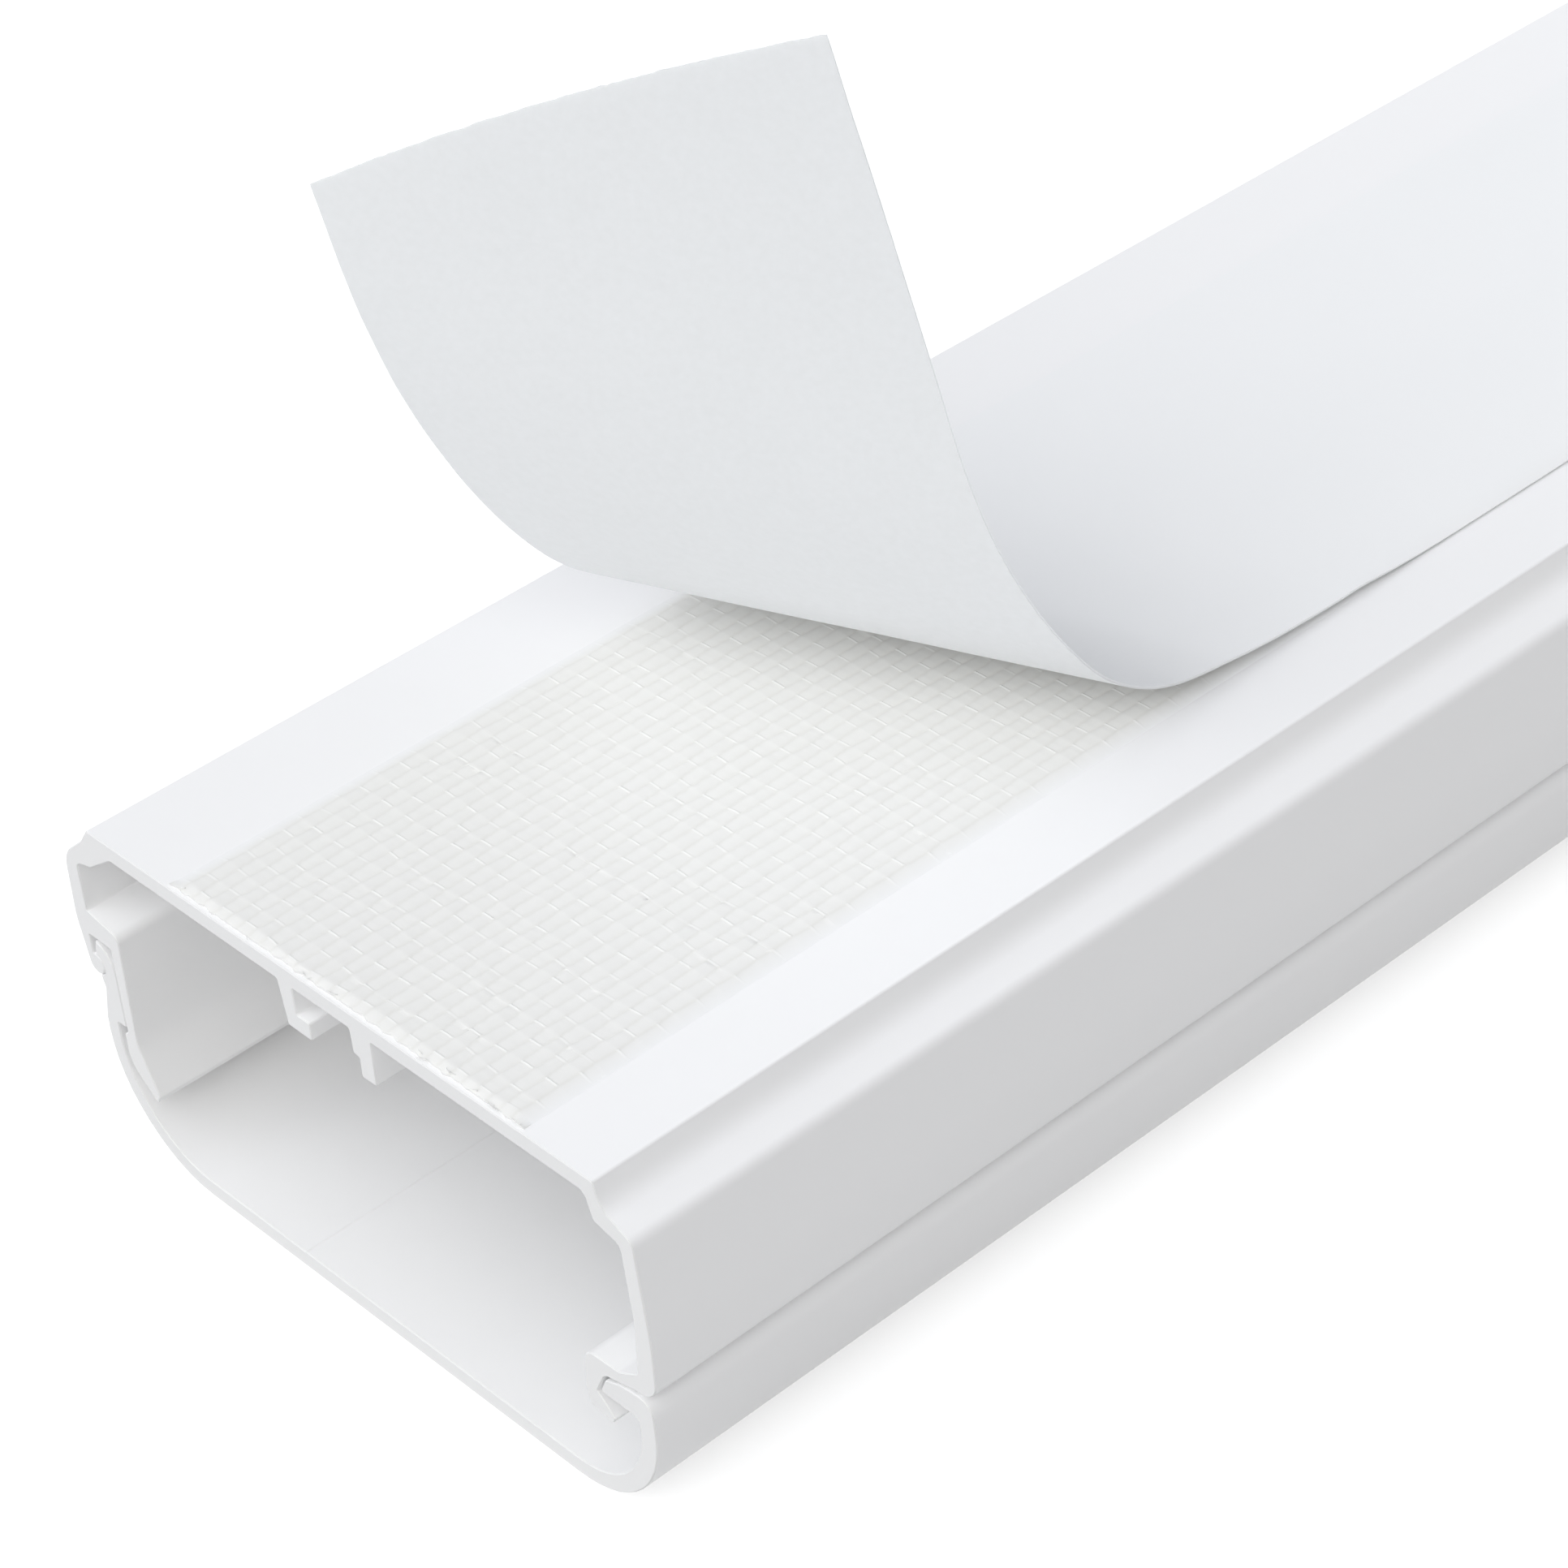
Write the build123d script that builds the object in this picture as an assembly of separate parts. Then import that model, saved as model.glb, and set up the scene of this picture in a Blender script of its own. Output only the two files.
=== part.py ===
from build123d import *
import os
from math import cos, sin, tan, radians

# Cord cover raceway, lying on the front face of its cover with the wall side up.
# X runs across the section with the latch at +X, Y along the length, Z up from the cover's front face.
# All sizes are in millimetres and degrees.

# Overall sizes
length = 400.0
height = 19.75
base_width = 41.8

# Corner radii that many corners share
edge_radius = 0.12
bend_radius = 0.3
soft_radius = 0.5

# Base channel: the back plate, its edge on the latch side and the wall below
plate_inset = 2.65
plate_thickness = 0.95
cove_run = 0.35
cove_drop = 1.3
cove_root = 0.7
cove_waist = 0.3
cove_wall = 1.05
shoulder_inset = 0.4
shoulder_drop = 2.15
shoulder_wall = 0.6
shoulder_lean = 0.3
side_wall = 1.0
seam_height = 8.4
seam_tuck = 0.1
seam_land = 1.6
seam_radius = 1.2
bow_foot = 2.8
bow_top = 3.95
bow_radius = 12.0
inner_bow = 4.6
inner_bow_radius = 10.0

# Base channel: the latch hook
hook_reach = 5.2
hook_depth = 3.25
hook_wall = 0.85
hook_roof = 0.5
hook_mouth = 1.35
hook_lean = 0.65
hook_nose = 1.7
nose_run = 0.2
nose_rise = 0.3
hook_heel_run = 0.25
hook_heel_rise = 0.2
hook_belly = 2.0
belly_radius = 1.5
hook_neck = 0.3
neck_radius = 0.75
root_inset = 2.6
root_drop = 0.42
root_lean = 0.25
root_rise = 1.15

# Base channel: the two ribs under the plate
rib_depth = 2.55
rib_draft = 0.05
rib_wall = 1.05
rib_root = 1.5
rib_step = 1.1
rib_step_rise = 0.1
plain_rib_x = 3.05
foot_rib_x = -3.4
foot_rib_wall = 0.82
foot_rib_draft = 0.3
foot_reach = 0.93
foot_thickness = 1.0

# Base channel: the hinge side
hinge_wall = 1.15
hinge_height = 10.95
hinge_inset = 1.05
hinge_bow = 2.45
hinge_bow_radius = 3.0
hinge_lean = 0.15
hinge_shoulder_drop = 2.5
hinge_shoulder_radius = 1.9
hinge_cove_run = 0.75
hinge_cove_drop = 1.0
hinge_root = 1.65
hinge_waist = 0.25
hinge_waist_drop = 1.35
hinge_wall_drop = 1.7
nib_radius = 0.6
nib_groove = 0.15
socket_height = 1.95
shelf_thickness = 0.85
shelf_fall = 0.5
leg_wall = 0.85
leg_draft = 0.2
leg_bend_drop = 0.6
leg_bend_radius = 2.5
leg_heel = 0.35
leg_heel_drop = 0.9
leg_heel_bevel = 0.25
leg_sole_drop = 2.0
leg_sole_radius = 1.8
leg_tip_height = 3.85
leg_tip_run = 1.5
leg_tip_lean = 0.3
leg_tip_wall = 0.5

# Cover
cover_wall = 0.95
cover_side_wall = 1.1
cover_latch_inset = 0.5
cover_hinge_inset = 0.93
latch_corner_radius = 6.1
hinge_corner_radius = 6.8
lip_thickness = 1.55
lip_radius = 0.95
lip_nose = 0.9
lip_dip = 0.23
lip_dip_radius = 1.0
brow_rise = 0.1
brow_radius = 3.0
notch_run = 0.38
notch_drop = 1.2
notch_top = 0.6
ring_wall = 0.7
ring_start = -75.0
ring_end = 80.0
ledge_rise = 0.25

# Clearances between the two extrusions
hinge_gap = 0.12
leg_gap = 0.18
seam_gap = 0.15

# Adhesive tape and its release liner
tape_width = 25.4
tape_offset = 0.85
tape_thickness = 0.25
tape_setback = 0.2
liner_thickness = 0.15
liner_overhang = 1.7
liner_end_bow = 0.64
peel_start = 50.2
peel_angle = 14.2
curl_apex = 107.0
curl_arcs = [(12.65, 9.6), (8.15, 47.5), (14.23, 35.9)]
flap_rows = 40
flap_columns = 16
sheet_tolerance = 0.02

# Lines that several pieces share
half_base = base_width / 2
half_plate = half_base - plate_inset
plate_under = height - plate_thickness
hinge_x = hinge_inset - half_base
ring_inner = nib_radius + hinge_gap
ring_outer = ring_inner + ring_wall
leg_outer = hinge_x + ring_outer + leg_gap
heel_height = seam_height - leg_heel_drop
mouth_top = seam_height - hook_roof
mouth_foot = mouth_top - hook_mouth
root_x = half_base - root_inset
cover_right = half_base - cover_latch_inset
cover_left = cover_hinge_inset - half_base
tape_top = height + tape_thickness
near_end = -length / 2
peel_y = near_end + peel_start


def rounded_face(corners):
    """Face of a closed outline in the XZ plane, from (x, z, corner radius)."""
    outline = FilletPolyline(
        *[(x, z) for x, z, _ in corners],
        radius=[r for _, _, r in corners],
        close=True,
    )
    return make_face(Plane.XZ * outline)


def disc(radius):
    """Round face about the hinge axis."""
    return Plane.XZ * Pos(hinge_x, hinge_height) * Circle(radius)


def along_length(face):
    """Extrusion of a section over the whole length, centred on the origin."""
    return extrude(face, amount=length / 2, both=True)


def hook_face(z):
    """Where the leaning inside face of the latch hook is at a height."""
    return half_base - hook_reach + hook_wall + hook_lean * (z - mouth_foot) / hook_mouth


def latch_side():
    """Corners of the base from the plate's edge down round the hook and back up."""
    inner = half_base - side_wall
    shoulder = height - shoulder_drop
    hook_back = half_base - hook_reach
    hook_foot = seam_height - hook_depth
    outside = [
        (half_plate, height, edge_radius),
        (half_plate + cove_run, height - cove_drop, soft_radius),
        (half_base - shoulder_inset, shoulder, soft_radius),
        (half_base, seam_height + bow_top, bow_radius),
        (half_base, seam_height + bow_foot, bow_radius),
        (half_base - seam_tuck, seam_height + seam_tuck, seam_radius),
    ]
    hook = [
        (half_base - seam_land, seam_height, bend_radius),
        (hook_face(mouth_top), mouth_top, soft_radius),
        (hook_face(mouth_foot), mouth_foot, edge_radius),
        (hook_back + hook_nose + nose_run, hook_foot + nose_rise, edge_radius),
        (hook_back + hook_nose, hook_foot, edge_radius),
        (hook_back + hook_heel_run, hook_foot + hook_heel_rise, soft_radius),
        (hook_back, seam_height - hook_belly, belly_radius),
        (hook_back + hook_neck, mouth_top + hook_wall, neck_radius),
        (root_x, seam_height - root_drop + hook_wall, neck_radius),
    ]
    inside = [
        (inner - root_lean, seam_height + root_rise, bend_radius),
        (inner, seam_height + inner_bow, inner_bow_radius),
        (inner - shoulder_lean, shoulder - shoulder_wall, soft_radius),
        (half_plate - cove_waist, height - cove_drop - cove_wall, bend_radius),
        (half_plate - cove_root, plate_under, soft_radius),
    ]
    return outside + hook + inside


def ribs():
    """Corners of the stepped plain rib and the footed rib, from the latch side."""
    tip = plate_under - rib_depth
    step = tip + rib_step
    foot_top = tip + foot_thickness
    foot_inside = foot_rib_x + foot_rib_wall
    corners = [
        (plain_rib_x + rib_draft, plate_under),
        (plain_rib_x, tip),
        (plain_rib_x - rib_wall, tip),
        (plain_rib_x - rib_wall, step),
        (plain_rib_x - rib_root + rib_draft, step + rib_step_rise),
        (plain_rib_x - rib_root, plate_under),
        (foot_inside, plate_under),
        (foot_inside, foot_top),
        (foot_inside + foot_reach, foot_top),
        (foot_inside + foot_reach, tip),
        (foot_rib_x, tip),
        (foot_rib_x - foot_rib_draft, plate_under),
    ]
    return [(x, z, edge_radius) for x, z in corners]


def hinge_side():
    """Corners of the base from the plate down the leg, round the socket and up outside."""
    inner = hinge_wall - half_base
    leg_inner = leg_outer + leg_wall
    leg_back = leg_outer - leg_heel
    socket_top = hinge_height + socket_height
    shelf_top = socket_top + shelf_thickness
    groove = hinge_x - nib_groove
    leg = [
        (hinge_root - half_plate, plate_under, soft_radius),
        (-half_plate - hinge_waist, plate_under - hinge_waist_drop, soft_radius),
        (inner, plate_under - hinge_wall_drop, soft_radius),
        (inner, shelf_top + shelf_fall, edge_radius),
        (leg_inner, shelf_top, soft_radius),
        (leg_inner - leg_draft, heel_height - leg_bend_drop, leg_bend_radius),
        (leg_outer + leg_tip_run + leg_tip_lean, leg_tip_height + leg_tip_wall, edge_radius),
        (leg_outer + leg_tip_run, leg_tip_height, edge_radius),
        (leg_back, heel_height - leg_sole_drop, leg_sole_radius),
        (leg_back, heel_height - leg_heel_bevel, edge_radius),
        (leg_outer, heel_height, edge_radius),
        (leg_outer, socket_top, edge_radius),
    ]
    outside = [
        (groove, socket_top, edge_radius),
        (groove, hinge_height, 0.0),
        (hinge_x - nib_radius, hinge_height, 0.0),
        (-half_base, hinge_height + hinge_bow, hinge_bow_radius),
        (hinge_lean - half_base, height - hinge_shoulder_drop, hinge_shoulder_radius),
        (-half_plate - hinge_cove_run, height - hinge_cove_drop, soft_radius),
        (-half_plate, height, edge_radius),
    ]
    return leg + outside


def base_channel():
    """Back plate with its two walls, ribs, latch hook, guide leg and rounded hinge nib."""
    section = rounded_face(latch_side() + ribs() + hinge_side())
    return along_length(section + disc(nib_radius))


def hinge_ring():
    """Part of a ring on the cover's edge that turns round the base's nib."""
    reach = 2 * ring_outer
    wedge = [(hinge_x, hinge_height, 0.0)]
    for turn in (ring_start, 0.0, ring_end):
        angle = radians(turn)
        wedge.append((hinge_x + reach * cos(angle), hinge_height + reach * sin(angle), 0.0))
    return (disc(ring_outer) - disc(ring_inner)) & rounded_face(wedge)


def cover():
    """Front face with rounded sides, the latch lip at +X and the hinge ring at -X."""
    lip_top = seam_height - seam_gap
    lip_under = lip_top - lip_thickness
    nose = lip_under + lip_nose
    neck = hinge_x + ring_outer
    ledge = heel_height + ledge_rise
    inner_left = cover_left + cover_wall
    inner_right = cover_right - cover_side_wall
    outside = [
        (cover_right, lip_top, lip_radius),
        (cover_right, 0.0, latch_corner_radius),
        (cover_left, 0.0, hinge_corner_radius),
        (cover_left, heel_height + brow_rise, brow_radius),
    ]
    ring_root = [
        (hinge_x + notch_run, hinge_height - notch_drop, bend_radius),
        (hinge_x + notch_top, hinge_height - notch_top, 0.0),
        (hinge_x + (ring_inner + ring_outer) / 2, hinge_height, 0.0),
        (neck, hinge_height, 0.0),
        (neck, ledge, edge_radius),
    ]
    inside = [
        (inner_left, ledge, edge_radius),
        (inner_left, cover_wall, hinge_corner_radius - cover_wall),
        (inner_right, cover_wall, latch_corner_radius - cover_side_wall),
        (inner_right, lip_under, bend_radius),
        (hook_face(lip_under) + seam_gap, lip_under, edge_radius),
        (hook_face(nose) + seam_gap, nose, bend_radius),
        (root_x, lip_top - lip_dip, lip_dip_radius),
    ]
    return along_length(rounded_face(outside + ring_root + inside) + hinge_ring())


def adhesive_tape():
    """Strip of double sided cloth tape on the back of the plate."""
    strip = Box(tape_width, length - 2 * tape_setback, tape_thickness)
    return Pos(tape_offset, 0, height + tape_thickness / 2) * strip


def curl(run):
    """Forward and upward travel after a length of the curl, arc by arc and then straight."""
    forward = 0.0
    upward = 0.0
    heading = 0.0
    for arc, turn in curl_arcs:
        step = min(run, arc)
        bend = radians(turn) / arc
        forward += (sin(heading + bend * step) - sin(heading)) / bend
        upward += (cos(heading) - cos(heading + bend * step)) / bend
        heading += bend * step
        run -= step
    return forward + run * cos(heading), upward + run * sin(heading)


def peel_line(x):
    """Where along the length the liner leaves the tape."""
    return peel_y + (x - tape_offset) * tan(radians(peel_angle))


def peeled_place(x, y):
    """Place of a point of the flat liner after its near end is curled up."""
    turn = radians(peel_angle)
    across = (x - tape_offset) * cos(turn) + (y - peel_y) * sin(turn)
    beyond = (x - tape_offset) * sin(turn) - (y - peel_y) * cos(turn)
    narrowing = 1 - across / curl_apex
    forward, upward = [narrowing * v for v in curl(beyond / narrowing)]
    return (
        tape_offset + across * cos(turn) + forward * sin(turn),
        peel_y + across * sin(turn) - forward * cos(turn),
        tape_top + upward,
    )


def flap_grid():
    """Rows of points on the curled flap, from the peel line to the bowed free end."""
    rows = []
    for i in range(flap_rows + 1):
        row = []
        for j in range(flap_columns + 1):
            side = 2 * j / flap_columns - 1
            x = tape_offset + side * tape_width / 2
            end = near_end - liner_overhang - liner_end_bow * (1 - side ** 2)
            y = peel_line(x) + (end - peel_line(x)) * i / flap_rows
            row.append(peeled_place(x, y))
        rows.append(row)
    return rows


def release_liner():
    """Paper liner: flat on the tape from the peel line to the far end, and a curled flap."""
    sheet = Face.make_surface_from_array_of_points(flap_grid(), tol=sheet_tolerance)
    flap = Solid.thicken(sheet, liner_thickness, normal_override=(0, 1, 1))
    root = flap.faces().sort_by(Axis.Y)[-1]
    laid = extrude(root, amount=length, dir=(0, 1, 0))
    far_cut = Plane.XZ.offset(tape_setback - length / 2)
    return flap + split(laid, bisect_by=far_cut, keep=Keep.TOP)


pieces = {
    "base_channel": base_channel(),
    "cover": cover(),
    "adhesive_tape": adhesive_tape(),
    "release_liner": release_liner(),
}
os.makedirs("parts", exist_ok=True)
for name, piece in pieces.items():
    piece.label = name
    export_step(piece, f"parts/{name}.step")
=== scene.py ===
import bmesh
import bpy
import numpy as np
from math import acos, atan2, ceil, cos, degrees, pi, radians, sin, tan
from mathutils import Matrix, Vector, noise


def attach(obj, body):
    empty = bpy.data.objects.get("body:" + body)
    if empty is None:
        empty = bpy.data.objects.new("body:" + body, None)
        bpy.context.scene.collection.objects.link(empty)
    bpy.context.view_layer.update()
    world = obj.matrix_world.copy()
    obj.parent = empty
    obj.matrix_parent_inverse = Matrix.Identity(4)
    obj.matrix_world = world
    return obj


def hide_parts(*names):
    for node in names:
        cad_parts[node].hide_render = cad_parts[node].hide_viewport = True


# Cord cover raceway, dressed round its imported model.
# Sizes are in millimetres and degrees, under the names that the part's source gives them.
# The scene's own values are the cove and shoulder radii, the hinge ring, its socket and shelf,
# the gaps at the hinge and the leg, the liner's thickness, and all the fine relief.

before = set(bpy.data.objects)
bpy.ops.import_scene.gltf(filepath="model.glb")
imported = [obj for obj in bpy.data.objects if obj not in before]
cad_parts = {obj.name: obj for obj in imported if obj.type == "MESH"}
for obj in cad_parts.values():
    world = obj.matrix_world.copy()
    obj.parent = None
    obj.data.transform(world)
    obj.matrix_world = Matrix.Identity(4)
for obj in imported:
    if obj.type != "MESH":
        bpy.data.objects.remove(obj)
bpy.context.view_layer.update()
MM = 0.001

# Overall sizes
length = 400.0
height = 19.75
base_width = 41.8

# Corner radii that many corners share
edge_radius = 0.12
bend_radius = 0.3
soft_radius = 0.5

# Base channel: the back plate, its edge on the latch side and the wall below
plate_inset = 2.65
plate_thickness = 0.95
cove_run = 0.35
cove_drop = 1.3
cove_root = 0.7
cove_waist = 0.3
cove_radius = 1.4
shoulder_radius = 0.65
cove_wall = 1.05
shoulder_inset = 0.4
shoulder_drop = 2.15
shoulder_wall = 0.6
shoulder_lean = 0.3
side_wall = 1.0
seam_height = 8.4
seam_tuck = 0.1
seam_land = 1.6
seam_radius = 1.2
bow_foot = 2.8
bow_top = 3.95
bow_radius = 12.0
inner_bow = 4.6
inner_bow_radius = 10.0

# Base channel: the latch hook
hook_reach = 5.2
hook_depth = 3.25
hook_wall = 0.85
hook_roof = 0.5
hook_mouth = 1.35
hook_lean = 0.65
hook_nose = 1.7
nose_run = 0.2
nose_rise = 0.3
hook_heel_run = 0.25
hook_heel_rise = 0.2
hook_belly = 2.0
belly_radius = 1.5
hook_neck = 0.3
neck_radius = 0.75
root_inset = 2.6
root_drop = 0.42
root_lean = 0.25
root_rise = 1.15

# Base channel: the two ribs under the plate
rib_depth = 2.55
rib_draft = 0.05
rib_wall = 1.05
rib_root = 1.5
rib_step = 1.1
rib_step_rise = 0.1
plain_rib_x = 3.05
foot_rib_x = -3.4
foot_rib_wall = 0.82
foot_rib_draft = 0.3
foot_reach = 0.93
foot_thickness = 1.0

# Base channel: the hinge side
hinge_wall = 1.15
hinge_height = 10.95
hinge_inset = 1.05
hinge_bow = 2.45
hinge_bow_radius = 3.0
hinge_lean = 0.15
hinge_shoulder_drop = 2.5
hinge_shoulder_radius = 1.9
hinge_cove_run = 0.75
hinge_cove_drop = 1.0
hinge_root = 1.65
hinge_waist = 0.25
hinge_waist_drop = 1.35
hinge_wall_drop = 1.7
nib_radius = 0.6
nib_groove = 0.15
socket_height = 1.72
shelf_thickness = 1.08
shelf_fall = 0.5
leg_wall = 0.85
leg_draft = 0.2
leg_bend_drop = 0.6
leg_bend_radius = 2.5
leg_heel = 0.35
leg_heel_drop = 0.9
leg_heel_bevel = 0.25
leg_sole_drop = 2.0
leg_sole_radius = 1.8
leg_tip_height = 3.85
leg_tip_run = 1.5
leg_tip_lean = 0.3
leg_tip_wall = 0.5

# Cover
cover_wall = 0.95
cover_side_wall = 1.1
cover_latch_inset = 0.5
cover_hinge_inset = 0.93
latch_corner_radius = 6.1
hinge_corner_radius = 6.8
lip_thickness = 1.55
lip_radius = 0.95
lip_nose = 0.9
lip_dip = 0.23
lip_dip_radius = 1.0
brow_rise = 0.1
brow_radius = 3.0
ring_wall = 0.9
ring_start = -75.0
ring_end = 80.0
ring_brow = 1.36
ledge_rise = 0.25

# Clearances between the two extrusions: the saw has smeared the first two over
hinge_gap = 0.04
leg_gap = 0.06
seam_gap = 0.15

# Adhesive tape and its release liner
tape_width = 25.4
tape_offset = 0.85
tape_thickness = 0.25
tape_setback = 0.2
liner_thickness = 0.12
liner_overhang = 1.7
liner_end_bow = 0.64
peel_start = 50.2
peel_angle = 14.2
curl_apex = 107.0
curl_arcs = [(12.65, 9.6), (8.15, 47.5), (14.23, 35.9)]

# Lines that several pieces share
half_base = base_width / 2
half_plate = half_base - plate_inset
plate_under = height - plate_thickness
hinge_x = hinge_inset - half_base
ring_inner = nib_radius + hinge_gap
ring_outer = ring_inner + ring_wall
leg_outer = hinge_x + ring_outer + leg_gap
heel_height = seam_height - leg_heel_drop
mouth_top = seam_height - hook_roof
mouth_foot = mouth_top - hook_mouth
root_x = half_base - root_inset
cover_right = half_base - cover_latch_inset
cover_left = cover_hinge_inset - half_base
tape_left = tape_offset - tape_width / 2
tape_right = tape_offset + tape_width / 2
tape_top = height + tape_thickness
near_end = -length / 2
tape_start = near_end + tape_setback
tape_end = -near_end - tape_setback
peel_y = near_end + peel_start

# Sawn ends, a die line on the cover's inner floor, and mesh fineness
saw_bevel = 0.06
saw_waver = 0.03
saw_waves = 1.7
burr_reach = 0.05
burr_waves = 2.6
die_line_x = -5.65
die_line_half = 0.1
die_line_rise = 0.06
arc_step = radians(7.5)
sharp_angle = radians(32)
least_step = 1e-4


# The section's outlines

def arc(radius, start, end):
    """Points of an arc about the hinge axis, as corners that aren't rounded."""
    count = ceil(abs(radians(end - start)) / arc_step) + 1
    turns = np.radians(np.linspace(start, end, count))
    return [(hinge_x + radius * cos(t), hinge_height + radius * sin(t), 0.0) for t in turns]


def hook_face(z):
    """Where the leaning inside face of the latch hook is at a height."""
    return half_base - hook_reach + hook_wall + hook_lean * (z - mouth_foot) / hook_mouth


def latch_side():
    """Corners of the base from the plate's edge down round the hook and back up."""
    inner = half_base - side_wall
    shoulder = height - shoulder_drop
    hook_back = half_base - hook_reach
    hook_foot = seam_height - hook_depth
    outside = [
        (half_plate, height, edge_radius),
        (half_plate + cove_run, height - cove_drop, cove_radius),
        (half_base - shoulder_inset, shoulder, shoulder_radius),
        (half_base, seam_height + bow_top, bow_radius),
        (half_base, seam_height + bow_foot, bow_radius),
        (half_base - seam_tuck, seam_height + seam_tuck, seam_radius),
    ]
    hook = [
        (half_base - seam_land, seam_height, bend_radius),
        (hook_face(mouth_top), mouth_top, soft_radius),
        (hook_face(mouth_foot), mouth_foot, edge_radius),
        (hook_back + hook_nose + nose_run, hook_foot + nose_rise, edge_radius),
        (hook_back + hook_nose, hook_foot, edge_radius),
        (hook_back + hook_heel_run, hook_foot + hook_heel_rise, soft_radius),
        (hook_back, seam_height - hook_belly, belly_radius),
        (hook_back + hook_neck, mouth_top + hook_wall, neck_radius),
        (root_x, seam_height - root_drop + hook_wall, neck_radius),
    ]
    inside = [
        (inner - root_lean, seam_height + root_rise, bend_radius),
        (inner, seam_height + inner_bow, inner_bow_radius),
        (inner - shoulder_lean, shoulder - shoulder_wall, soft_radius),
        (half_plate - cove_waist, height - cove_drop - cove_wall, bend_radius),
        (half_plate - cove_root, plate_under, soft_radius),
    ]
    return outside + hook + inside


def ribs():
    """Corners of the stepped plain rib and the footed rib, from the latch side."""
    tip = plate_under - rib_depth
    step = tip + rib_step
    foot_top = tip + foot_thickness
    foot_inside = foot_rib_x + foot_rib_wall
    corners = [
        (plain_rib_x + rib_draft, plate_under),
        (plain_rib_x, tip),
        (plain_rib_x - rib_wall, tip),
        (plain_rib_x - rib_wall, step),
        (plain_rib_x - rib_root + rib_draft, step + rib_step_rise),
        (plain_rib_x - rib_root, plate_under),
        (foot_inside, plate_under),
        (foot_inside, foot_top),
        (foot_inside + foot_reach, foot_top),
        (foot_inside + foot_reach, tip),
        (foot_rib_x, tip),
        (foot_rib_x - foot_rib_draft, plate_under),
    ]
    return [(x, z, edge_radius) for x, z in corners]


def hinge_side():
    """Corners of the base from the plate down the leg, round the nib and up outside."""
    inner = hinge_wall - half_base
    leg_inner = leg_outer + leg_wall
    leg_back = leg_outer - leg_heel
    socket_top = hinge_height + socket_height
    shelf_top = socket_top + shelf_thickness
    leg = [
        (hinge_root - half_plate, plate_under, soft_radius),
        (-half_plate - hinge_waist, plate_under - hinge_waist_drop, soft_radius),
        (inner, plate_under - hinge_wall_drop, soft_radius),
        (inner, shelf_top + shelf_fall, edge_radius),
        (leg_inner, shelf_top, soft_radius),
        (leg_inner - leg_draft, heel_height - leg_bend_drop, leg_bend_radius),
        (leg_outer + leg_tip_run + leg_tip_lean, leg_tip_height + leg_tip_wall, edge_radius),
        (leg_outer + leg_tip_run, leg_tip_height, edge_radius),
        (leg_back, heel_height - leg_sole_drop, leg_sole_radius),
        (leg_back, heel_height - leg_heel_bevel, edge_radius),
        (leg_outer, heel_height, edge_radius),
        (leg_outer, socket_top, edge_radius),
        (hinge_x - nib_groove, socket_top, edge_radius),
    ]
    nib = arc(nib_radius, degrees(acos(-nib_groove / nib_radius)), -180.0)
    outside = [
        (-half_base, hinge_height + hinge_bow, hinge_bow_radius),
        (hinge_lean - half_base, height - hinge_shoulder_drop, hinge_shoulder_radius),
        (-half_plate - hinge_cove_run, height - hinge_cove_drop, soft_radius),
        (-half_plate, height, edge_radius),
    ]
    return leg + nib + outside


def cover_side():
    """Corners of the cover: its outside, the hinge ring, the inside and the latch lip."""
    lip_top = seam_height - seam_gap
    lip_under = lip_top - lip_thickness
    nose = lip_under + lip_nose
    neck = hinge_x + ring_outer
    ledge = heel_height + ledge_rise
    inner_left = cover_left + cover_wall
    inner_right = cover_right - cover_side_wall
    outside = [
        (cover_right, lip_top, lip_radius),
        (cover_right, 0.0, latch_corner_radius),
        (cover_left, 0.0, hinge_corner_radius),
        (cover_left, heel_height + brow_rise, brow_radius),
    ]
    brow = arc(ring_brow, ring_start, ring_start)
    ring = arc(ring_inner, ring_start, ring_end) + arc(ring_outer, ring_end, 0.0)
    inside = [
        (neck, ledge, edge_radius),
        (inner_left, ledge, edge_radius),
        (inner_left, cover_wall, hinge_corner_radius - cover_wall),
        (die_line_x - die_line_half, cover_wall, 0.0),
        (die_line_x, cover_wall + die_line_rise, 0.0),
        (die_line_x + die_line_half, cover_wall, 0.0),
        (inner_right, cover_wall, latch_corner_radius - cover_side_wall),
        (inner_right, lip_under, bend_radius),
        (hook_face(lip_under) + seam_gap, lip_under, edge_radius),
        (hook_face(nose) + seam_gap, nose, bend_radius),
        (root_x, lip_top - lip_dip, lip_dip_radius),
    ]
    return outside + brow + ring + inside


def rounded(corners):
    """Points of a closed outline with its corners rounded off, anticlockwise in X and Z."""
    points = []
    for before, here, after in zip(corners[-1:] + corners[:-1], corners, corners[1:] + corners[:1]):
        corner = Vector(here[:2])
        radius = here[2]
        if radius == 0.0:
            points.append(corner)
            continue
        back = (Vector(before[:2]) - corner).normalized()
        ahead = (Vector(after[:2]) - corner).normalized()
        half = back.angle(ahead) / 2
        middle = corner + (back + ahead).normalized() * radius / sin(half)
        first = corner + back * radius / tan(half) - middle
        last = corner + ahead * radius / tan(half) - middle
        start = atan2(first.y, first.x)
        turn = (atan2(last.y, last.x) - start + pi) % (2 * pi) - pi
        for t in np.linspace(start, start + turn, ceil(abs(turn) / arc_step) + 1):
            points.append(middle + radius * Vector((cos(t), sin(t))))
    outline = np.array(points)
    apart = np.linalg.norm(outline - np.roll(outline, 1, 0), axis=1) > least_step
    outline = outline[apart]
    following = np.roll(outline, -1, 0)
    turning = np.sum(outline[:, 0] * following[:, 1] - following[:, 0] * outline[:, 1])
    return outline if turning > 0 else outline[::-1]


# Meshes

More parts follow.
